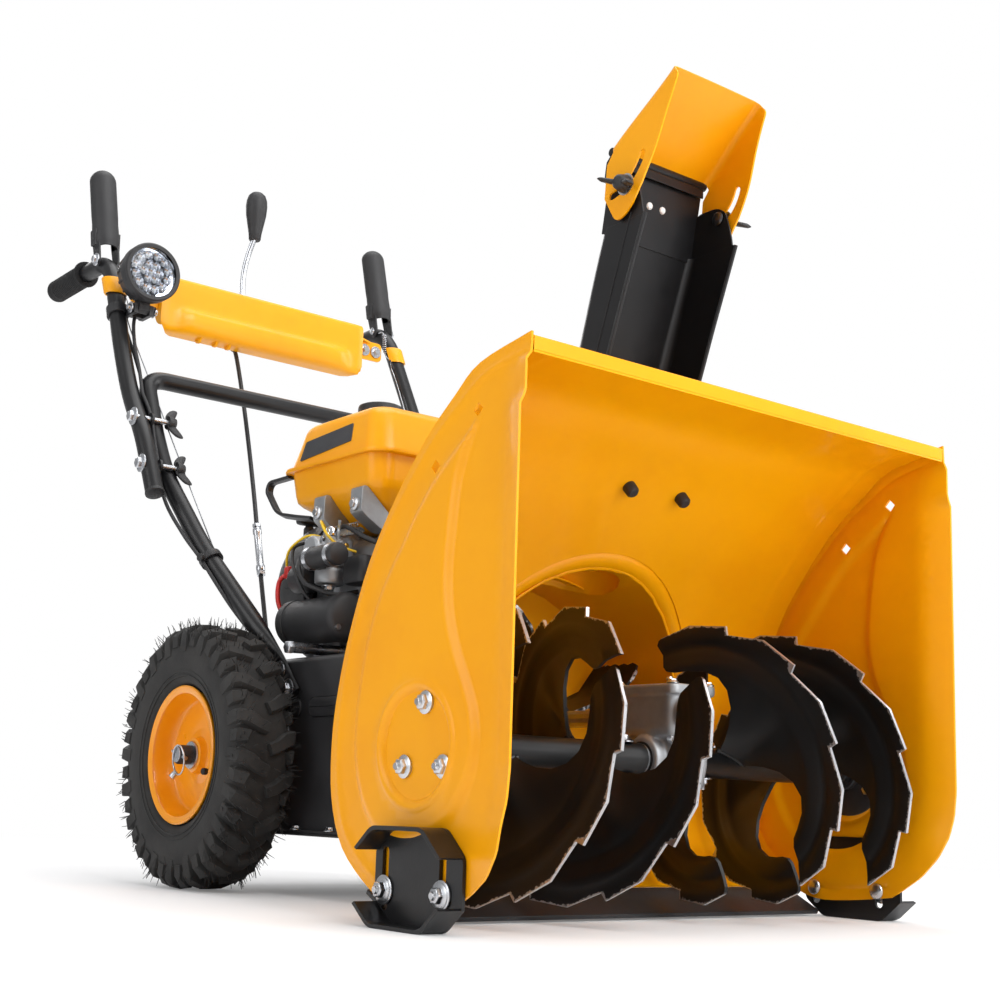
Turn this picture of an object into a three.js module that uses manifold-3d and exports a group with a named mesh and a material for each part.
// Two-stage walk-behind snowblower, built as an assembly of its separate pieces.
// Millimetres, +Z up. -Y is the intake end (front), +Y the handlebar end (rear) and
// +X the operator's left. Inside the group the auger shaft is at y = 0; the group is
// shifted so that the machine is centred on the origin in X and Y and rests on z = 0.
import * as THREE from 'three';
import { mergeVertices } from 'three/addons/utils/BufferGeometryUtils.js';
import Module from 'manifold-3d';

const manifold = await Module();
manifold.setup();

// ---------------------------------------------------------------- driving dimensions
const GROUP_Y = -484.5;        // centres the machine in Y
const GAP = 0.3;               // clearance between neighbouring pieces
const SHEET = 3;               // side plate, drum and frame thickness
const HALF_W = 306;            // outer face of the intake side plates
const WRAP_HALF_W = HALF_W - SHEET - GAP;
const AUGER_Z = 166;           // auger shaft height
const AUGER_R = 148;           // auger flight radius
const AUGER_SHAFT_R = 11;
const IMPELLER_Z = 212;        // impeller shaft height
const DRUM_R = 163;            // impeller housing inner radius
const DRUM_BACK = 262;         // inner face of the impeller housing's back plate
const CHUTE_Y = 100;           // vertical axis of the chute ring
const NECK_TOP = 456;          // top of the housing neck below the chute
const CRANK_Z = 393;           // engine crankshaft height
const TYRE_R = 164;
const RIM_R = 86;
const AXLE_Y = 590;
const AXLE_Z = TYRE_R;         // the tyres touch z = 0
const HEX_Y = 510.3;           // hex shaft of the friction drive
const HEX_Z = 190;
const FRAME = { halfWidth: 160, front: 275, rear: 690, bottom: 75, top: 287 };
const SEAT_Z = FRAME.top + 0.4;    // underside of the pieces standing on the frame
const GRIP_X = 250;            // straight rear run of the upper handles
const GRIP_Z = 899;

// ---------------------------------------------------------------- materials
const YELLOW = { color: 0xf5ab17, roughness: 0.4, metalness: 0 };
const ORANGE = { color: 0xf29a12, roughness: 0.4, metalness: 0 };
const BLACK = { color: 0x141414, roughness: 0.4, metalness: 0 };
const GLOSS_BLACK = { ...BLACK, roughness: 0.35 };
const DARK = { color: 0x26272a, roughness: 0.4, metalness: 0 };
const DARK_SHAFT = { ...DARK, metalness: 0.6 };
const DARK_GEAR = { ...DARK, metalness: 0.8 };
const ZINC = { color: 0xb9bcc0, roughness: 0.4, metalness: 0.8 };
const BRIGHT_ZINC = { ...ZINC, roughness: 0.3, metalness: 0.9 };
const CAST_ALU = { color: 0x9da0a3, roughness: 0.5, metalness: 0.7 };
const TURNED_ALU = { ...CAST_ALU, roughness: 0.4, metalness: 0.8 };
const BRONZE = { color: 0xb08d3c, roughness: 0.4, metalness: 0.8 };
const RUBBER = { color: 0x1c1c1d, roughness: 0.8, metalness: 0 };
const TYRE_RUBBER = { ...RUBBER, roughness: 0.85 };

// ---------------------------------------------------------------- meshes and solids
const vec = (x, y, z) => new THREE.Vector3(x, y, z);
const AXIS_X = vec(1, 0, 0);
const AXIS_Y = vec(0, 1, 0);
const AXIS_Z = vec(0, 0, 1);

// welds a geometry, drops collapsed triangles and turns it outside out where needed
function solid(source) {
  const bare = source.clone();
  for (const name of Object.keys(bare.attributes)) {
    if (name !== 'position') bare.deleteAttribute(name);
  }
  const welded = mergeVertices(bare, 1e-4);
  const vertProperties = new Float32Array(welded.attributes.position.array);
  const index = welded.index.array;
  const corner = i => new THREE.Vector3().fromArray(vertProperties, 3 * i);
  const triangles = [];
  let volume = 0;
  for (let i = 0; i < index.length; i += 3) {
    const [a, b, c] = index.slice(i, i + 3);
    if (a === b || b === c || a === c) continue;
    triangles.push(a, b, c);
    volume += corner(a).dot(corner(b).cross(corner(c)));
  }
  if (volume < 0) {
    for (let i = 0; i < triangles.length; i += 3) {
      [triangles[i], triangles[i + 1]] = [triangles[i + 1], triangles[i]];
    }
  }
  const triVerts = new Uint32Array(triangles);
  return new manifold.Manifold(new manifold.Mesh({ numProp: 3, vertProperties, triVerts }));
}

function geometryOf(body) {
  const mesh = body.getMesh();
  const geometry = new THREE.BufferGeometry();
  const positions = new Float32Array(mesh.vertProperties);
  geometry.setAttribute('position', new THREE.BufferAttribute(positions, 3));
  geometry.setIndex(new THREE.BufferAttribute(new Uint32Array(mesh.triVerts), 1));
  geometry.computeVertexNormals();
  return geometry;
}

const union = (...bodies) => bodies.reduce((sum, body) => sum.add(body));
const cut = (body, ...tools) => tools.reduce((rest, tool) => rest.subtract(tool), body);
const mirrorX = body => solid(geometryOf(body).scale(-1, 1, 1));
const bothSides = body => body.add(mirrorX(body));

const group = new THREE.Group();
group.position.y = GROUP_Y;

function add(name, body, material) {
  const mesh = new THREE.Mesh(geometryOf(body), new THREE.MeshStandardMaterial(material));
  mesh.name = name;
  group.add(mesh);
}

// adds a left hand piece and its mirror image
function addPair(name, left, material) {
  add(`${name}_left`, left, material);
  add(`${name}_right`, mirrorX(left), material);
}

// ---------------------------------------------------------------- outlines
// points on an arc about (u, v), both ends included
const arc = (radius, u, v, start, sweep, steps) => Array.from({ length: steps + 1 }, (_, i) => {
  const angle = start + sweep * i / steps;
  return [u + radius * Math.cos(angle), v + radius * Math.sin(angle)];
});
const circle = (radius, u, v, segments, start = 0) =>
  arc(radius, u, v, start, 2 * Math.PI, segments).slice(0, -1);
const levelRing = (radius, x, y, z, segments) =>
  circle(radius, x, y, segments).map(([px, py]) => vec(px, py, z));
const scaleAbout = (points, u, v, scaleU, scaleV) =>
  points.map(([pu, pv]) => [u + (pu - u) * scaleU, v + (pv - v) * scaleV]);
const radians = degrees => degrees * Math.PI / 180;

// [radius, angle] round a toothed wheel; tooth rows are [fraction of a pitch, radius]
const toothedRing = (teeth, phase, tooth) => Array.from({ length: teeth }, (_, i) =>
  tooth.map(([at, radius]) => [radius, phase + 2 * Math.PI * (i + at) / teeth])).flat();

// ---------------------------------------------------------------- primitives
const box = (x0, x1, y0, y1, z0, z1) => solid(
  new THREE.BoxGeometry(x1 - x0, y1 - y0, z1 - z0)
    .translate((x0 + x1) / 2, (y0 + y1) / 2, (z0 + z1) / 2));
const cylinder = (radius, length, segments) =>
  new THREE.CylinderGeometry(radius, radius, length, segments);
const cylX = (radius, x0, x1, y, z, segments) => solid(
  cylinder(radius, x1 - x0, segments).rotateZ(-Math.PI / 2).translate((x0 + x1) / 2, y, z));
const cylY = (radius, y0, y1, x, z, segments) => solid(
  cylinder(radius, y1 - y0, segments).translate(x, (y0 + y1) / 2, z));
const cylZ = (radius, z0, z1, x, y, segments) => solid(
  cylinder(radius, z1 - z0, segments).rotateX(Math.PI / 2).translate(x, y, (z0 + z1) / 2));

function shapeOf(points, holes = []) {
  const flat = outline => outline.map(([u, v]) => new THREE.Vector2(u, v));
  const shape = new THREE.Shape(flat(points));
  for (const hole of holes) shape.holes.push(new THREE.Path(flat(hole)));
  return shape;
}
const extrude = (points, depth, holes, ...axes) =>
  new THREE.ExtrudeGeometry(shapeOf(points, holes), { depth, bevelEnabled: false })
    .applyMatrix4(new THREE.Matrix4().makeBasis(...axes));
// (y, z) outline from x0 to x1
const prismX = (points, x0, x1, holes) => solid(
  extrude(points, x1 - x0, holes, AXIS_Y, AXIS_Z, AXIS_X).translate(x0, 0, 0));
// (x, z) outline from y0 to y1
const prismY = (points, y0, y1, holes) => solid(
  extrude(points, y1 - y0, holes, AXIS_X, AXIS_Z, AXIS_Y).translate(0, y0, 0));

// closed profile of [radius, position along the axis]
function turned(profile, segments) {
  const points = [...profile, profile[0]].map(([radius, along]) => new THREE.Vector2(radius, along));
  return new THREE.LatheGeometry(points, segments);
}
const latheX = (profile, y, z, segments) => solid(
  turned(profile, segments).rotateZ(-Math.PI / 2).translate(0, y, z));
const latheY = (profile, x, z, segments) => solid(turned(profile, segments).translate(x, 0, z));

// triangles over a flat ring, indexed within the ring
function capTriangles(ring) {
  const origin = ring[0];
  const from = point => point.clone().sub(origin);
  const normal = vec(0, 0, 0);
  ring.forEach((point, i) => normal.add(from(point).cross(from(ring[(i + 1) % ring.length]))));
  normal.normalize();
  const u = from(ring[1]).normalize();
  const v = normal.clone().cross(u);
  const flat = ring.map(point => new THREE.Vector2(from(point).dot(u), from(point).dot(v)));
  return THREE.ShapeUtils.triangulateShape(flat, []);
}

// skin between closed rings of equally many points, with flat ends;
// the listed sides of the ring are split along their other diagonal
function loft(rings, otherDiagonal = []) {
  const count = rings[0].length;
  const index = [];
  for (let k = 0; k < rings.length - 1; k++) {
    for (let i = 0; i < count; i++) {
      const a = k * count + i;
      const b = k * count + (i + 1) % count;
      const c = a + count;
      const d = b + count;
      index.push(...(otherDiagonal.includes(i) ? [a, b, c, b, d, c] : [a, b, d, a, d, c]));
    }
  }
  for (const [a, b, c] of capTriangles(rings[0])) index.push(a, c, b);
  const last = (rings.length - 1) * count;
  for (const triangle of capTriangles(rings.at(-1))) index.push(...triangle.map(i => last + i));
  const positions = new Float32Array(rings.flat().flatMap(point => point.toArray()));
  const geometry = new THREE.BufferGeometry();
  geometry.setAttribute('position', new THREE.BufferAttribute(positions, 3));
  geometry.setIndex(index);
  return solid(geometry);
}

// straight runs with rounded corners
function bentPath(stations, bendRadius) {
  const points = stations.map(station => vec(...station));
  const path = new THREE.CurvePath();
  let previous = points[0];
  for (let i = 1; i < points.length - 1; i++) {
    const [before, corner, after] = points.slice(i - 1, i + 2);
    const reach = Math.min(
      bendRadius, corner.distanceTo(before) * 0.45, corner.distanceTo(after) * 0.45);
    const toward = end => corner.clone().add(end.clone().sub(corner).setLength(reach));
    const bendStart = toward(before);
    const bendEnd = toward(after);
    path.add(new THREE.LineCurve3(previous, bendStart));
    path.add(new THREE.QuadraticBezierCurve3(bendStart, corner, bendEnd));
    previous = bendEnd;
  }
  path.add(new THREE.LineCurve3(previous, points.at(-1)));
  return path;
}
function tube(stations, radius, bendRadius, steps, segments) {
  const extrudePath = bentPath(stations, bendRadius);
  const section = shapeOf(circle(radius, 0, 0, segments));
  return solid(new THREE.ExtrudeGeometry(section, { steps, extrudePath, bevelEnabled: false }));
}

// ---------------------------------------------------------------- intake housing
// (y, z) outline of the side plate's bottom, rear and top
const PLATE_REAR = [
  [-56, 27], [0, 21], [48, 20], [86, 33], [134, 68], [157, 116], [161, 173], [154, 223],
  [137, 282], [107, 350], [68, 406], [21, 458], [-24, 494], [-61, 518], [-134, 532],
];
// flared front edge from the top down: y, z, outward flare, inward direction (y, z)
const PLATE_FRONT = [
  [-134, 513, 0, 1, 0], [-134, 506, 6, 1, 0], [-134, 474, 6, 1, 0],
  [-134, 466, 12, 1, 0], [-134, 300, 12, 1, 0], [-134, 145, 12, 1, 0],
  [-131, 118, 12, 0.97, 0.25], [-124, 96, 12, 0.9, 0.42], [-113, 73, 7, 0.82, 0.57],
  [-94, 51, 2, 0.68, 0.73], [-72, 36, 0, 0.5, 0.86], [-56, 27, 0, 0.35, 0.93],
];
const FLARE_STRIP = 36;        // width of the flared strip at the top; 35 % less at the bottom
const BEARING_BOLTS = [[0, 39.4], [30, -19.5], [-30, -19.5]];    // y, z from the auger shaft
const SKID_BOLT_YS = [-37, 51.6];
const SKID_BOLT_Z = 33;

function sidePlate() {
  const stations = PLATE_FRONT.map(([y, z, flare, inY, inZ], i) => {
    const width = FLARE_STRIP * (1 - (i / 11) * 0.35);
    return { y, z, outerX: HALF_W + flare, innerY: y + width * inY, innerZ: z + width * inZ };
  });
  const inner = stations.map(({ innerY, innerZ }) => [innerY - 0.6, innerZ]);
  const flareRings = stations.map(({ y, z, outerX, innerY, innerZ }) => [
    vec(outerX, y, z),
    vec(HALF_W - 0.4, innerY, innerZ),
    vec(HALF_W - SHEET, innerY, innerZ),
    vec(outerX - SHEET, y, z),
  ]);
  let body = prismX([...PLATE_REAR, [-134, 513], ...inner], HALF_W - SHEET, HALF_W)
    .add(loft(flareRings));
  for (const [y, z] of BEARING_BOLTS) {
    body = body.subtract(cylX(5.2, 290, 320, y, AUGER_Z + z, 10));
  }
  // two square holes near the top
  for (const [y, z] of [[2.6, 429], [-61, 473]]) {
    body = body.subtract(prismX(circle(7.5, y, z, 4, 0.2), 295, 315));
  }
  // carriage bolts that clamp the skid through its two slots
  for (const y of SKID_BOLT_YS) {
    body = union(
      body,
      cylX(4, HALF_W - 4.5, HALF_W + 16, y, SKID_BOLT_Z, 10),
      cylX(9, HALF_W + 6.6, HALF_W + 13, y, SKID_BOLT_Z, 6),
      cylX(9.5, HALF_W - 6, HALF_W - 2, y, SKID_BOLT_Z, 8));
  }
  return body;
}
addPair('side_plate', sidePlate(), YELLOW);

// (y, z) outer line of the wrapped sheet, from the bottom rear up to the top front
const WRAP = [
  [80, 31.5], [131.5, 70.5], [154, 117], [158, 173], [151, 222], [134.3, 280.6],
  [104.5, 348.3], [65.8, 403.8], [19.2, 455.5], [-25.4, 491.2], [-61.8, 515], [-132, 528.5],
];
const WRAP_SHEET = 2.5;

function housingWrap() {
  const inset = WRAP.slice(0, -1).map(([y, z], i) => {
    const before = WRAP[Math.max(i - 1, 0)];
    const after = WRAP[i + 1];
    const dy = after[0] - before[0];
    const dz = after[1] - before[1];
    const length = Math.hypot(dy, dz);
    return [y - WRAP_SHEET * dz / length, z + WRAP_SHEET * dy / length];
  });
  const lip = [[-134, 528.5], [-134, 515], [-131.5, 515], [-131.5, 525.6]];
  let body = prismX([...WRAP, ...lip, ...inset.reverse()], -WRAP_HALF_W, WRAP_HALF_W)
    .subtract(cylY(DRUM_R + SHEET + GAP, 40, 300, 0, IMPELLER_Z, 36));
  // two slanted bolts through the sheet
  for (const boltX of [-39, 39]) {
    body = body.add(loft([0, 1].map(k => circle(5, boltX, 0, 8).map(
      ([x, up]) => vec(x, 21 - k * 22 + up * 0.75, 460 - k * 25 - up * 0.66)))));
  }
  return body;
}
add('housing_wrap', housingWrap(), YELLOW);

// round drum with a neck that slants forward up to the chute ring
function impellerDrum() {
  const intake = prismX(
    [...WRAP.map(([y, z]) => [y + 0.7, z]), [-134, 532], [-134, 32]], -303, 303);
  const neckFoot = { y: 190, z: 330 };
  const neck = (radius, heights) => loft(heights.map(z => {
    const rise = (z - neckFoot.z) / (NECK_TOP - neckFoot.z);
    return levelRing(radius, 0, neckFoot.y - rise * (neckFoot.y - CHUTE_Y), z, 20);
  }));
  const shell = union(
    cylY(DRUM_R + SHEET, 55, DRUM_BACK + SHEET, 0, IMPELLER_Z, 36),
    neck(66, [neckFoot.z, NECK_TOP]),
    cylZ(73, 452, NECK_TOP, 0, CHUTE_Y, 20));
  return cut(
    shell,
    cylY(DRUM_R, 40, DRUM_BACK, 0, IMPELLER_Z, 36),
    neck(63, [320, 460]),
    intake,
    cylY(11, 250, 280, 0, IMPELLER_Z, 20),
  ).intersect(box(-200, 200, 50, 300, 0, NECK_TOP));
}
add('impeller_drum', impellerDrum(), YELLOW);

const impellerBearing = () => cut(
  cylY(38, DRUM_BACK + SHEET + GAP, 274.6, 0, IMPELLER_Z, 18),
  cylY(10.2, 255, 280, 0, IMPELLER_Z, 20));
add('impeller_bearing', impellerBearing(), ZINC);

const chuteRingBase = () => cut(
  cylZ(74, NECK_TOP + GAP, 461.5, 0, CHUTE_Y, 20).add(cylZ(66, 460, 470, 0, CHUTE_Y, 20)),
  cylZ(62.5, 450, 475, 0, CHUTE_Y, 20));
add('chute_ring_base', chuteRingBase(), DARK);

const SCRAPER = [[44, 6.7], [46.8, 2], [95, 26.6], [92.7, 31]];    // y, z
add('scraper_bar', prismX(SCRAPER, -302, 302), BLACK);

// bearing of the auger shaft, bolted inside the side plate
function augerBearing() {
  let body = cylX(50, HALF_W - 7, HALF_W - SHEET - GAP, 0, AUGER_Z, 20)
    .add(cylX(20, HALF_W - 16, HALF_W - 4, 0, AUGER_Z, 16));
  for (const [y, z] of BEARING_BOLTS) {
    body = union(
      body,
      cylX(4.4, HALF_W - 9, HALF_W + 13, y, AUGER_Z + z, 8),
      cylX(8.5, HALF_W + GAP, HALF_W + 7, y, AUGER_Z + z, 6));
  }
  return body.subtract(cylX(AUGER_SHAFT_R + 0.6, 280, 330, 0, AUGER_Z, 12));
}
addPair('auger_bearing', augerBearing(), BLACK);

// ---------------------------------------------------------------- auger and worm gearbox
const gearboxHousing = () => cut(
  union(
    cylX(46, -20, 20, 0, AUGER_Z, 20),
    cylX(24, -33, 33, 0, AUGER_Z, 12),
    box(-30, 30, -44, 46, 192, 244),
    cylY(27, -50, 66, 0, IMPELLER_Z, 18),
    cylZ(9, 240, 255, 8, 0, 10)),
  cylX(40.5, -10.5, 10.5, 0, AUGER_Z, 20),
  cylY(17, -36, 36, 0, IMPELLER_Z, 14),
  cylX(AUGER_SHAFT_R + 0.6, -40, 40, 0, AUGER_Z, 12),
  cylY(10, 20, 70, 0, IMPELLER_Z, 14));
add('gearbox_housing', gearboxHousing(), CAST_ALU);

add('auger_shaft', cylX(AUGER_SHAFT_R, -300, 300, 0, AUGER_Z, 12), DARK_SHAFT);

const WORM_TEETH = 20;         // teeth of the worm wheel
const WORM_STARTS = 2;
const WORM_MODULE = 3.4;
const WORM_R = 12;             // pitch radius of the worm

function wormWheel() {
  const pitchR = WORM_MODULE * WORM_TEETH / 2;
  const rootR = pitchR - 3.9;
  const tipR = pitchR + 2.2;
  const twist = WORM_STARTS * WORM_MODULE / (2 * WORM_R) / pitchR;    // radians per mm
  const outline = toothedRing(WORM_TEETH, Math.PI / 2 + Math.PI / WORM_TEETH,
    [[-0.30, rootR], [-0.14, tipR], [0.14, tipR], [0.30, rootR]]);
  const rings = [-8, 0, 8].map(x => outline.map(([radius, angle]) => vec(
    x, radius * Math.cos(angle + twist * x), AUGER_Z + radius * Math.sin(angle + twist * x))));
  return loft(rings).subtract(cylX(AUGER_SHAFT_R + 0.4, -20, 20, 0, AUGER_Z, 12));
}
add('worm_wheel', wormWheel(), BRONZE);

const BLADE_SPAN = radians(174);
const BLADE_PITCH = 200;
const BLADE_SHEET = 4;
// inner radius along the blade: a central web on the hub, a free ribbon at both ends
const BLADE_INNER_RADII = [104, 100, 98, 62, 13.9, 13.9, 13.9, 62, 98, 100, 122];

function blade(startX, startAngle) {
  const rings = BLADE_INNER_RADII.map((innerR, k) => {
    const angle = startAngle + BLADE_SPAN * k / (BLADE_INNER_RADII.length - 1);
    const x = startX + BLADE_PITCH * (angle - startAngle) / (2 * Math.PI);
    const at = (dx, radius) =>
      vec(x + dx, radius * Math.cos(angle), AUGER_Z + radius * Math.sin(angle));
    const half = BLADE_SHEET / 2;
    return [at(-half, innerR), at(-half, AUGER_R), at(half, AUGER_R), at(half, innerR)];
  });
  return loft(rings, [1]);
}

// a pair of opposed blades at each start position along the hub
function auger(startAngle, startXs) {
  let body = cylX(16, 36, 288, 0, AUGER_Z, 14);
  for (const x of startXs) {
    body = union(body, blade(x, startAngle), blade(x, startAngle + Math.PI));
  }
  return body.subtract(cylX(AUGER_SHAFT_R + 0.7, 20, 310, 0, AUGER_Z, 14));
}
const LEFT_START = 68;         // degrees
const RIGHT_CLOCKING = 78;     // degrees the right auger is turned on from the left
add('auger_left', auger(radians(LEFT_START), [41, 154]), GLOSS_BLACK);
add('auger_right', mirrorX(auger(radians(LEFT_START + RIGHT_CLOCKING), [67, 180])), GLOSS_BLACK);

// ---------------------------------------------------------------- impeller
// plain shaft with a double start worm on its front end
function impellerShaft() {
  const lead = WORM_STARTS * Math.PI * WORM_MODULE;
  const section = Array.from({ length: 12 }, (_, i) => {
    const phase = (i * WORM_STARTS / 12) % 1;
    const fromCrest = Math.min(phase, 1 - phase);
    let radius = WORM_R - 2.9;
    if (fromCrest < 0.16) radius = WORM_R + 2.4;
    else if (fromCrest < 0.26) radius = WORM_R - 0.3;
    return [radius, 2 * Math.PI * i / 12];
  });
  const rings = Array.from({ length: 19 }, (_, k) => {
    const y = -17.8 + 35.6 * k / 18;
    const twist = 2 * Math.PI * y / lead;
    return section.map(([radius, turn]) => {
      const angle = Math.PI / 2 - turn - twist;
      return vec(radius * Math.cos(angle), y, IMPELLER_Z + radius * Math.sin(angle));
    });
  });
  return cylY(9.4, -32, 312, 0, IMPELLER_Z, 12).add(loft(rings));
}
add('impeller_shaft', impellerShaft(), BRIGHT_ZINC);

// vane section: radius, sideways offset, share of the 0.3 rad tip sweep
const VANE = [[12, -2, 0], [90, -2, 0], [150, -2, 0.6], [150, 2.2, 0.6], [90, 2.2, 0], [12, 2.2, 0]];

function impeller() {
  let body = cylY(21, 168, 250, 0, IMPELLER_Z, 16).add(cylY(70, 244, 248, 0, IMPELLER_Z, 20));
  for (let k = 0; k < 4; k++) {
    const angle = k * Math.PI / 2 + 0.35;
    const cos = Math.cos(angle);
    const sin = Math.sin(angle);
    const sweepX = Math.cos(angle + 0.3) - cos;
    const sweepZ = Math.sin(angle + 0.3) - sin;
    body = body.add(prismY(VANE.map(([radius, offset, sweep]) => [
      radius * cos - offset * sin + sweep * sweepX * radius,
      radius * sin + offset * cos + sweep * sweepZ * radius + IMPELLER_Z,
    ]), 170, 247));
  }
  return body.subtract(cylY(9.9, 150, 260, 0, IMPELLER_Z, 12));
}
add('impeller', impeller(), GLOSS_BLACK);

// ---------------------------------------------------------------- belts
const IMPELLER_PULLEY_R = 86;
const ENGINE_PULLEY_R = 35;    // front groove, for the auger belt
const AUGER_BELT_DEPTH = 7;
const BELT_HALF_W = 2.2;
const AUGER_BELT_Y = 301;      // mid plane
const TRACTION_BELT_Y = 325;

function impellerPulley() {
  const rim = IMPELLER_PULLEY_R;
  const front = AUGER_BELT_Y - 9;
  const back = AUGER_BELT_Y + 9;
  return latheY([
    [9.8, front], [rim, front], [rim, front + 2], [rim - 9, front + 6],
    [rim - 9, back - 6], [rim, back - 2], [rim, back], [9.8, back],
  ], 0, IMPELLER_Z, 22);
}
add('impeller_pulley', impellerPulley(), ZINC);

// (x, z) line round two pulleys above each other at x = 0
function beltLine(lowZ, lowR, highR) {
  const wrap = Math.acos((lowR - highR) / (CRANK_Z - lowZ));
  const up = Math.PI / 2;
  return [
    ...arc(lowR, 0, lowZ, up + wrap, 2 * Math.PI - 2 * wrap, 9),
    ...arc(highR, 0, CRANK_Z, up - wrap, 2 * wrap, 9),
  ];
}
const belt = (outer, inner, y) => prismY(outer, y - BELT_HALF_W, y + BELT_HALF_W, [inner]);
add('auger_belt', belt(
  beltLine(IMPELLER_Z, IMPELLER_PULLEY_R, ENGINE_PULLEY_R),
  beltLine(IMPELLER_Z, IMPELLER_PULLEY_R - AUGER_BELT_DEPTH, ENGINE_PULLEY_R - AUGER_BELT_DEPTH),
  AUGER_BELT_Y), RUBBER);
add('traction_belt', belt(
  beltLine(HEX_Z, 58, 31), beltLine(HEX_Z, 52.4, 25.2), TRACTION_BELT_Y), RUBBER);

// ---------------------------------------------------------------- tractor body
// open-bottomed box with a flange along the foot of each side
function tractorFrame() {
  const { halfWidth, front, rear, bottom, top } = FRAME;
  const inner = halfWidth - SHEET;
  return cut(
    union(
      box(-halfWidth, halfWidth, front, rear, bottom, top)
        .subtract(box(-inner, inner, front + SHEET, rear - SHEET, 60, top - SHEET)),
      bothSides(box(inner, 166, 285, 680, bottom, bottom + SHEET))),
    box(-110, 110, 284, 345, 270, 300),
    cylY(14, 270, 285, 0, IMPELLER_Z, 20),
    cylX(13, -170, 170, AXLE_Y, AXLE_Z, 20),
    cylX(11, -170, 170, HEX_Y, HEX_Z, 16));
}
add('tractor_frame', tractorFrame(), BLACK);

const bottomCover = () => union(
  box(-164, 164, 287, 678, 71.5, FRAME.bottom - GAP), box(-120, 120, 300, 660, 66, 72));
add('bottom_cover', bottomCover(), BLACK);

// right half of each outline as x, z going inwards and up; the left half mirrors it
function beltCover() {
  const arch = half => [...half, ...half.map(([x, z]) => [-x, z]).reverse()];
  return cut(
    prismY(arch([[-106, SEAT_Z], [-106, 400], [-84, 440], [-40, 458]]), 281, 345),
    prismY(arch([[-103, 280], [-103, 399], [-82, 437.5], [-39, 455]]), 284, 346));
}
add('belt_cover', beltCover(), BLACK);

// ---------------------------------------------------------------- engine
// crankcase with the finned cylinder on the operator's left
function engineBlock() {
  let body = prismY([
    [-92, SEAT_Z], [92, SEAT_Z], [92, 330], [98, 400], [84, 448], [-70, 448], [-92, 420],
  ], 352, 552);
  const fin = [[90, 346], [98, 340], [98, 452], [86, 446]];    // x, z
  for (let k = 0; k < 6; k++) {
    const outline = fin.map(([x, z]) => [x + 8 * k, z + 1.5 * k]);
    body = body.add(prismY(outline, 382 - 2 * k, 520 + 2 * k));
  }
  return cut(
    body.add(box(80, 148, 400, 502, 352, 440)),
    cylY(14, 340, 570, 0, CRANK_Z, 24),
    box(-60, 60, 372, 532, 310, 425));
}
add('engine_block', engineBlock(), CAST_ALU);

const valveCover = () => union(
  box(148 + GAP, 172, 404, 498, 350, 442), box(150, 178, 412, 490, 358, 434));
add('valve_cover', valveCover(), DARK);

// turned profiles: radius, y
const FLYWHEEL_HOUSING = [
  [20, 655], [70, 655], [100, 640], [105, 622], [105, 553],
  [101, 553], [101, 620], [96, 634], [68, 650], [20, 650],
];
const ENGINE_PULLEY = [
  [12.3, 292], [ENGINE_PULLEY_R, 292], [ENGINE_PULLEY_R, 294], [27, 298], [27, 304],
  [ENGINE_PULLEY_R, 308], [ENGINE_PULLEY_R, 316], [31, 318], [23.8, 322], [23.8, 328],
  [31, 332], [31, 334], [12.3, 334],
];
const FLYWHEEL = [[12.3, 570], [88, 570], [88, 600], [60, 604], [12.3, 606]];
add('flywheel_housing', latheY(FLYWHEEL_HOUSING, 0, CRANK_Z, 24), BLACK);
add('crankshaft', cylY(12, 288, 612, 0, CRANK_Z, 20), BRIGHT_ZINC);
add('engine_pulley', latheY(ENGINE_PULLEY, 0, CRANK_Z, 18), ZINC);
add('flywheel', latheY(FLYWHEEL, 0, CRANK_Z, 20), TURNED_ALU);

const FILLER_Y = 553;
const TANK_TOP = 622;
// (y, z) outline of the tank
const TANK = [
  [385, 512], [392, 474], [412, 458], [515, 461], [545, 500], [602, 506],
  [612, 545], [606, 600], [590, TANK_TOP], [420, TANK_TOP], [398, 600], [388, 560],
];

function fuelTank() {
  return cut(
    union(
      prismX(TANK, -108, 108),
      prismX(TANK.filter(([, z]) => z < 600), -116, 116),
      box(-121, 121, 378, 618, 543, 549),
      cylZ(30, 618, 632, 0, FILLER_Y, 20)),
    prismX(scaleAbout(TANK, 498, 540, 0.965, 0.955), -104, 104),
    cylZ(22, 600, 640, 0, FILLER_Y, 24));
}
add('fuel_tank', fuelTank(), YELLOW);

const fuelCap = () => union(
  cylZ(31, 632.4, 652, 0, FILLER_Y, 20), cylZ(20.5, 612, 634, 0, FILLER_Y, 20));
add('fuel_cap', fuelCap(), BLACK);

const muffler = () => union(
  box(124, 172, 396, 500, 466, 530),
  box(128, 144, 430, 460, 460.5, 470),
  cylX(14, 170, 186, 416, 500, 12));
add('muffler', muffler(), DARK);

const carburetor = () => union(
  box(-142, -95.5, 451, 500, 402, 442),
  cylX(26, -168, -139.3, 476, 424.4, 17),
  cylZ(19.3, 380, 405, -118.7, 475.3, 14));
add('carburetor', carburetor(), CAST_ALU);

const starterMotor = () => union(
  cylY(30, 410, 545, -126, 336, 28),
  cylY(12, 545, 552, -126, 336, 16),
  box(-126, -92.4, 430, 520, 322, 350));
add('starter_motor', starterMotor(), DARK);

const starterRelay = () => union(
  cylY(19, 500, 552, -122.5, 394, 16), box(-122, -98.4, 520, 548, 388, 400));
add('starter_relay', starterRelay(), BLACK);

// bent bar at the tank's right rear, trimmed clear of the tank
const GUARD_PATH = [
  [-100, 622, 560], [-118, 648, 540], [-126, 652, 505], [-118, 640, 478], [-104, 600, 470],
];
const guardBar = () => tube(GUARD_PATH, 5, 20, 12, 6)
  .subtract(box(-121.5, 121, 376, 619.6, 400, 640));
add('guard_bar', guardBar(), BLACK);

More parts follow.
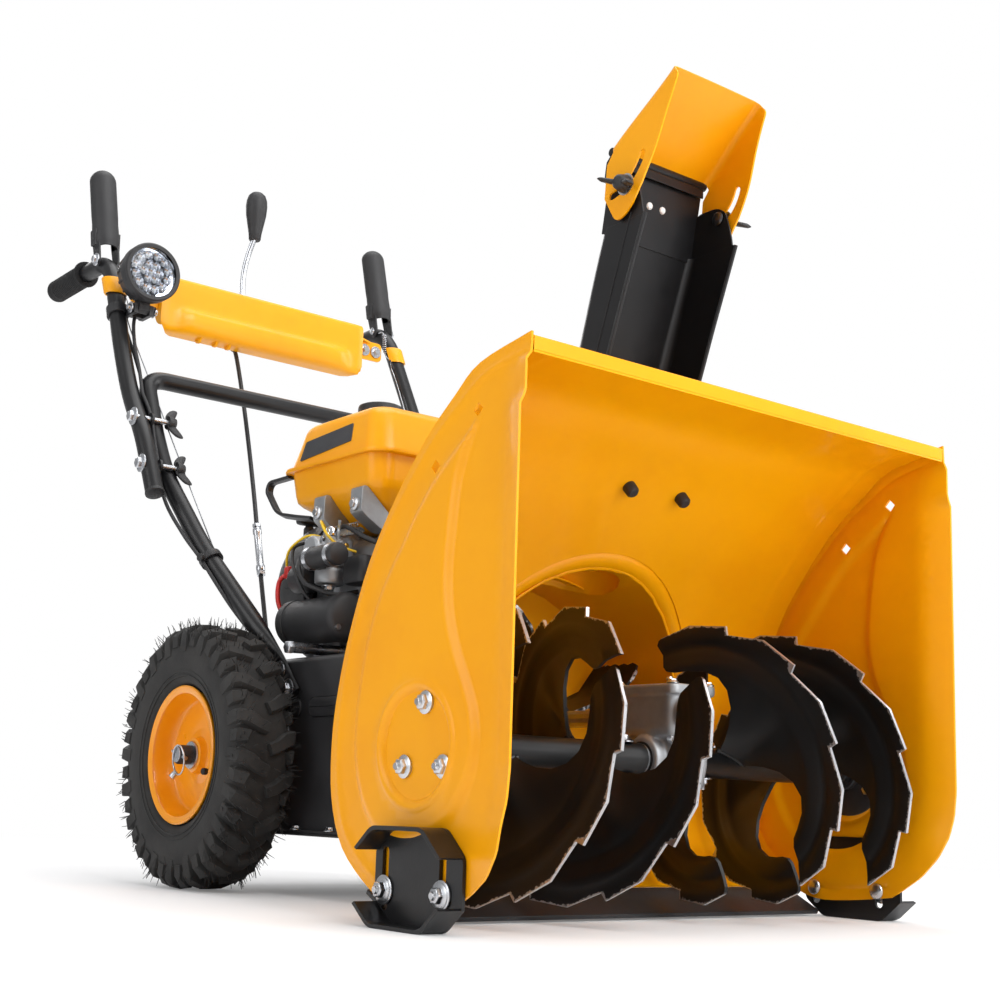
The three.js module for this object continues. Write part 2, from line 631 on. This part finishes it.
// ---------------------------------------------------------------- handle
// left leg, flattened at its foot: x, y, z, radius across, radius along the third axis
const LEG = [
  [165, 470, 238, 4.2, 14], [165, 505, 275, 4.2, 14], [169, 532, 304, 8, 13],
  [176, 560, 335, 12.5, 12.5], [203, 655, 437, 12.5, 12.5], [225, 735, 545, 12.5, 12.5],
  [231, 762, 600, 12.5, 12.5], [231, 785, 646, 12.2, 12.2],
];
const CROSSBAR_PATH = [
  [-231, 783, 642], [-231, 806, 688], [-200, 809, 697],
  [200, 809, 697], [231, 806, 688], [231, 783, 642],
];

function handleLeg() {
  const centres = LEG.map(([x, y, z]) => vec(x, y, z));
  return loft(LEG.map(([, , , acrossR, normalR], i) => {
    const before = centres[Math.max(i - 1, 0)];
    const after = centres[Math.min(i + 1, LEG.length - 1)];
    const tangent = after.clone().sub(before).normalize();
    const across = AXIS_X.clone().addScaledVector(tangent, -tangent.x).normalize();
    const normal = tangent.clone().cross(across);
    return circle(1, 0, 0, 8).map(([cos, sin]) => centres[i].clone()
      .addScaledVector(across, acrossR * cos).addScaledVector(normal, normalR * sin));
  }));
}
const lowerHandle = () => bothSides(handleLeg()).add(tube(CROSSBAR_PATH, 12.6, 30, 18, 8));
add('lower_handle', lowerHandle(), BLACK);

const UPPER_PATH = [
  [258, 700, 512], [258, 712, 535], [258, 748, 602], [257, 800, 665], [256, 845, 748],
  [GRIP_X, 905, 872], [GRIP_X, 940, GRIP_Z], [GRIP_X, 1113, GRIP_Z],
];
addPair('upper_handle', tube(UPPER_PATH, 12.5, 60, 16, 8), BLACK);

const grip = () => cut(
  cylY(17.5, 1002, 1117, GRIP_X, GRIP_Z, 24), cylY(12.9, 990, 1113.4, GRIP_X, GRIP_Z, 24));
addPair('grip', grip(), RUBBER);

// ---------------------------------------------------------------- dash and shift lever
const SHIFT_PIVOT = { y: 912, z: 832 };

// front sheet with top and bottom flanges, end walls and ears,
// and two cheeks with a pivot pin below the shift lever's slot
function controlPanel() {
  return union(
    box(-180, 180, 880, 883, 800, 884),
    box(-180, 180, 880, 926, 881, 884),
    bothSides(box(177, 180, 880, 922, 806, 884)),
    box(-180, 180, 880, 905, 800, 803),
    bothSides(box(177, 236.5, 894, 897, 832, 866)),
    box(-44, -40.5, 882, 925, 820, 882),
    box(-17.5, -14, 882, 925, 820, 882),
    cylX(4, -43, -15, SHIFT_PIVOT.y, SHIFT_PIVOT.z, 10),
  ).subtract(box(-40.5, -17.5, 886, 924, 870, 890));
}
add('control_panel', controlPanel(), YELLOW);

const KNOB = [[985, 9], [1000, 13], [1040, 17], [1056, 14], [1064, 7]];    // z, radius
const SHIFT_ARM = [[914, 838], [908, 827], [934, 814], [942, 818], [938, 826]];    // y, z

function shiftLever() {
  const { y, z } = SHIFT_PIVOT;
  const knobRings = KNOB.map(([height, radius]) =>
    levelRing(radius, -20, 900 - (height - 985) * 0.12, height, 10));
  return union(
    tube([[-29, y, z], [-29, 915, 930], [-20, 900, 985]], 4.5, 20, 7, 8),
    cylX(9, -38, -20, y, z, 12),
    prismX(SHIFT_ARM, -33, -27),
    loft(knobRings),
  ).subtract(cylX(4.3, -50, -10, y, z, 12));
}
add('shift_lever', shiftLever(), BRIGHT_ZINC);

// bent rod from the lever's arm down to the frame, with a thicker collar on the way
function shiftRod() {
  const bend = [-37, 905, 795];
  const foot = [-60, 722, 330];
  const collar = [0.42, 0.56].map(share => {
    const { x, y, z } = vec(...bend).lerp(vec(...foot), share);
    return levelRing(6, x, y - 1.5, z, 6);
  });
  return tube([[-37.5, 937, 819.5], bend, [-46, 810, 560], foot], 3.5, 12, 14, 6)
    .add(loft(collar));
}
add('shift_rod', shiftRod(), ZINC);

// ---------------------------------------------------------------- hand levers
// half-round lever, open to the rear, on two pivot cheeks
function handLever() {
  const pivot = vec(GRIP_X, 932, GRIP_Z);
  const tip = vec(GRIP_X, 974, 1054);
  const along = tip.clone().sub(pivot).normalize();
  const rearward = vec(0, along.z, -along.y);
  const ring = share => {
    const centre = pivot.clone().lerp(tip, share);
    const halfRound = radius => arc(radius, 0, 0, 0, Math.PI, 6).map(([across, forward]) =>
      centre.clone().addScaledVector(AXIS_X, across).addScaledVector(rearward, -forward));
    return [...halfRound(20.5), ...halfRound(18.3).reverse()];
  };
  const { y, z } = pivot;
  const cheek = [[y - 9, z], [y + 10, z], [y + 22, z + 44], [y + 1, z + 46]];
  const tab = [[y + 1, z + 24], [y + 16, z + 24], [y + 22, z + 48], [y + 2, z + 48]];
  let body = loft([ring(0.16), ring(1)]);
  // inner face of the cheek, then the x range of the tab joining it to the lever
  for (const [x, tabX0, tabX1] of [[263.4, 263.4, 270.4], [233.8, 229.5, 236.6]]) {
    body = union(
      body,
      cylX(10, x, x + 2.8, y, z, 18),
      prismX(cheek, x, x + 2.8),
      prismX(tab, tabX0, tabX1));
  }
  return body;
}
addPair('lever', handLever(), BLACK);

// ---------------------------------------------------------------- headlight
const LAMP = { x: -232, z: 855 };
const LAMP_PIVOT = { y: 836, z: 805 };

const headlight = () => cut(
  union(
    cylY(43, 806, 826, LAMP.x, LAMP.z, 20),
    latheY([[0, 824], [40, 824], [36, 846], [22, 862], [0, 866]], LAMP.x, LAMP.z, 20),
    box(-240, -224, 826, 846, 799, 824)),
  cylX(3.4, -250, -210, LAMP_PIVOT.y, LAMP_PIVOT.z, 10));
add('headlight', headlight(), BLACK);

// fork with a pin, relieved round the right upper handle
function headlightBracket() {
  const handlePath = [
    [-256, 800, 665], [-256, 845, 748], [-GRIP_X, 905, 872], [-GRIP_X, 940, GRIP_Z],
  ];
  return union(
    box(-247, -240.6, 828, 868, 797, 812),
    box(-223.4, -217, 828, 860, 797, 812),
    cylX(3, -246, -218, LAMP_PIVOT.y, LAMP_PIVOT.z, 10),
    box(-247, -217, 852, 860, 797, 812),
  ).subtract(tube(handlePath, 13, 60, 30, 14));
}
add('headlight_bracket', headlightBracket(), BLACK);

// ---------------------------------------------------------------- chute
const CHUTE_WALL = 2.5;
// U sections, open to the front: z, half width, front y, back y, corner radius
const CHUTE_SECTIONS = [
  [473, 69.6, 60, 169.2, 69.2], [500, 70, 54, 150, 62], [540, 70, 40, 112, 40],
  [598, 70, 18, 82, 16], [690, 70, -16, 51.5, 11], [738, 70, -34, 35.3, 9],
];
// y, z
const CHUTE_CHEEK = [
  [-31, 733], [-28, 752], [-20, 780], [-8, 788], [6, 789], [21, 789], [31.5, 733],
];
const CHUTE_BACK = [[33.4, 733.5], [35.2, 734], [21.5, 812], [19.3, 812]];

function chuteRing([z, halfWidth, frontY, backY, cornerR]) {
  const line = (half, back, radius) => [
    [-half, frontY],
    ...arc(radius, -half + radius, back - radius, Math.PI, -Math.PI / 2, 3),
    ...arc(radius, half - radius, back - radius, Math.PI / 2, -Math.PI / 2, 3),
    [half, frontY],
  ];
  const outer = line(halfWidth, backY, cornerR);
  const inner = line(
    halfWidth - CHUTE_WALL, backY - CHUTE_WALL, Math.max(cornerR - CHUTE_WALL, 1));
  return [...outer, ...inner.reverse()].map(([x, y]) => vec(x, y, z));
}

function chute() {
  const collar = cylZ(71.7, 462.5, 481, 0, CHUTE_Y, 22)
    .add(cylZ(76, 462.5, 469, 0, CHUTE_Y, 22))
    .subtract(cylZ(66.8, 455, 490, 0, CHUTE_Y, 22));
  const headedPin = cylX(3.6, 69, 84, -9, 775, 10).add(cylX(9, 76.2, 82, -9, 775, 12));
  return union(
    loft(CHUTE_SECTIONS.map(chuteRing)),
    bothSides(prismX(CHUTE_CHEEK, 67.7, 69.8)),
    prismX(CHUTE_BACK, -69.4, 69.4),
    collar,
    bothSides(headedPin));
}
add('chute', chute(), BLACK);

const HINGE = { y: 18, z: 822 };
const DEFLECTOR_HALF_W = 75.6;
// y, z
const DEFLECTOR_SIDE = [
  [5, 735], [24, 768], [21, 806], [16, 826], [-76, 900],
  [-84, 890], [-66, 846], [-50, 803], [-34, 772], [-16, 746],
];
const DEFLECTOR_TOP = [[16, 826], [-76, 900], [-77.6, 898], [13.6, 824.4]];

// two side plates, slotted about the hinge, under a sloping top plate
function deflector() {
  const slotEdge = radius => arc(radius, HINGE.y, HINGE.z, radians(-160), radians(64), 8);
  const slot = [...slotEdge(59), ...slotEdge(49.6).reverse()];
  return union(
    prismX(DEFLECTOR_SIDE, 73, DEFLECTOR_HALF_W, [slot]),
    prismX(DEFLECTOR_SIDE, -DEFLECTOR_HALF_W, -73, [slot]),
    prismX(DEFLECTOR_TOP, -DEFLECTOR_HALF_W, DEFLECTOR_HALF_W),
    cylX(5, -DEFLECTOR_HALF_W, DEFLECTOR_HALF_W, HINGE.y, HINGE.z, 14));
}
add('deflector', deflector(), YELLOW);

// ---------------------------------------------------------------- skids
// (y, z) outline
const SKID = [[-66, 22], [-40, 0], [42, 0], [68, 20], [68, 71], [42, 92], [-38, 92], [-66, 67]];

// slotted plate with an outward rim, which is open at the front and rear
function skid() {
  const plateX = HALF_W + 4.4;
  const rim = cut(
    prismX(SKID, HALF_W + 2, HALF_W + 30),
    prismX(scaleAbout(SKID, 1, 46, 0.942, 0.913), plateX, HALF_W + 40),
    box(plateX, 350, -80, -50, 23, 66),
    box(plateX, 350, 52, 80, 21.5, 70));
  const slots = SKID_BOLT_YS.map(y =>
    prismX([[y - 5, 14.5], [y + 5, 14.5], [y + 5, 73], [y - 5, 73]], 300, 340));
  return cut(prismX(SKID, HALF_W + 0.4, plateX).add(rim), ...slots);
}
addPair('skid', skid(), BLACK);

// ---------------------------------------------------------------- traction drive
// turned profiles: radius, y for the pulley and radius, x for the wheels
const TRACTION_PULLEY = [
  [0, 318], [58, 318], [58, 320], [50.8, 322.5], [50.8, 327.5], [58, 330], [58, 332], [0, 332],
];
const FRICTION_WHEEL = [
  [20, -13], [20, -6], [61.8, -6], [61.8, 6], [20, 6], [20, 13], [9.6, 13], [9.6, -13],
];
const RIM = [
  [11, 164], [24, 164], [24, 214], [68, 218], [73, 190], [RIM_R, 187], [RIM_R, 190],
  [78.6, 192.5], [78.6, 246], [RIM_R, 250.7], [RIM_R, 254], [75, 252], [69, 224],
  [26, 221], [24, 249], [11, 249],
];
const TYRE = [
  [80.2, 203], [80.2, 194], [87.4, 191], [87.4, 184], [120, 179], [155, 185],
  [TYRE_R, 199], [TYRE_R, 238], [155, 252], [120, 258], [87.4, 255], [87.4, 249.8],
  [80.2, 245], [80.2, 237], [120, 246], [154, 234], [154, 203], [120, 191],
];

const frictionDisc = () => union(
  cylY(9, 316, 442, 0, HEX_Z, 10),
  latheY(TRACTION_PULLEY, 0, HEX_Z, 20),
  cylY(86, 440, 448, 0, HEX_Z, 24));
add('friction_disc', frictionDisc(), TURNED_ALU);

const PINION_TEETH = 12;
const AXLE_TEETH = 54;
const GEAR_MODULE = 2 * Math.hypot(AXLE_Y - HEX_Y, AXLE_Z - HEX_Z) / (PINION_TEETH + AXLE_TEETH);
const TO_AXLE = Math.atan2(AXLE_Z - HEX_Z, AXLE_Y - HEX_Y);    // angle from hex shaft to axle

function gear(teeth, y, z, phase, x0, x1) {
  const pitchR = teeth * GEAR_MODULE / 2;
  const rootR = pitchR - 1.25 * GEAR_MODULE;
  const tipR = pitchR + 0.85 * GEAR_MODULE;
  const tooth = [[-0.34, rootR], [-0.10, tipR], [0.10, tipR], [0.34, rootR]];
  return prismX(toothedRing(teeth, phase, tooth).map(([radius, angle]) =>
    [y + radius * Math.cos(angle), z + radius * Math.sin(angle)]), x0, x1);
}
const hexShaft = () => union(
  cylX(9, -156, 156, HEX_Y, HEX_Z, 6),
  gear(PINION_TEETH, HEX_Y, HEX_Z, TO_AXLE, -124, -106));
add('hex_shaft', hexShaft(), ZINC);
add('friction_wheel', latheX(FRICTION_WHEEL, HEX_Y, HEX_Z, 20), RUBBER);
add('wheel_axle', cylX(10, -258, 258, AXLE_Y, AXLE_Z, 18), ZINC);

// turned by half a tooth pitch to mesh with the pinion
const axleGear = () => cut(
  gear(AXLE_TEETH, AXLE_Y, AXLE_Z, TO_AXLE + Math.PI + Math.PI / AXLE_TEETH, -122, -108),
  cylX(10.3, -130, -100, AXLE_Y, AXLE_Z, 18));
add('axle_gear', axleGear(), DARK_GEAR);

addPair('rim', latheX(RIM, AXLE_Y, AXLE_Z, 20), ORANGE);
addPair('tyre', latheX(TYRE, AXLE_Y, AXLE_Z, 24), TYRE_RUBBER);

export default group;
